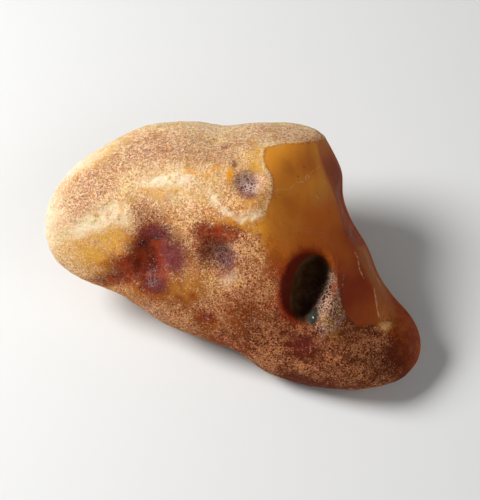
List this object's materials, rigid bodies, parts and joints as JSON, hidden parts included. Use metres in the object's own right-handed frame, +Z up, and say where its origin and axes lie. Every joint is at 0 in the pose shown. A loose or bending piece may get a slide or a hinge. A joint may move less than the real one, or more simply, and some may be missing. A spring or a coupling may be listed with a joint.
{
  "type": "raw amber piece",
  "caption": "Weathered raw amber lump with a crusted, pitted skin, a deep oval pit and a broken face that shows the clear honey-brown resin inside.",
  "frame": {"origin": "middle of the bounding box's bottom face, on the surface the lump rests on", "axes": "+X along the lump's length, from the blunt end to the narrower tongue; +Y towards the high back edge; +Z up"},
  "size_m": [0.0604, 0.0398, 0.0285],
  "materials": {
    "amber": "weathered crazed crust, with a smooth clear honey-brown broken face"
  },
  "bodies": {
    "root": {"amber_nugget": "amber"}
  },
  "joints": []
}
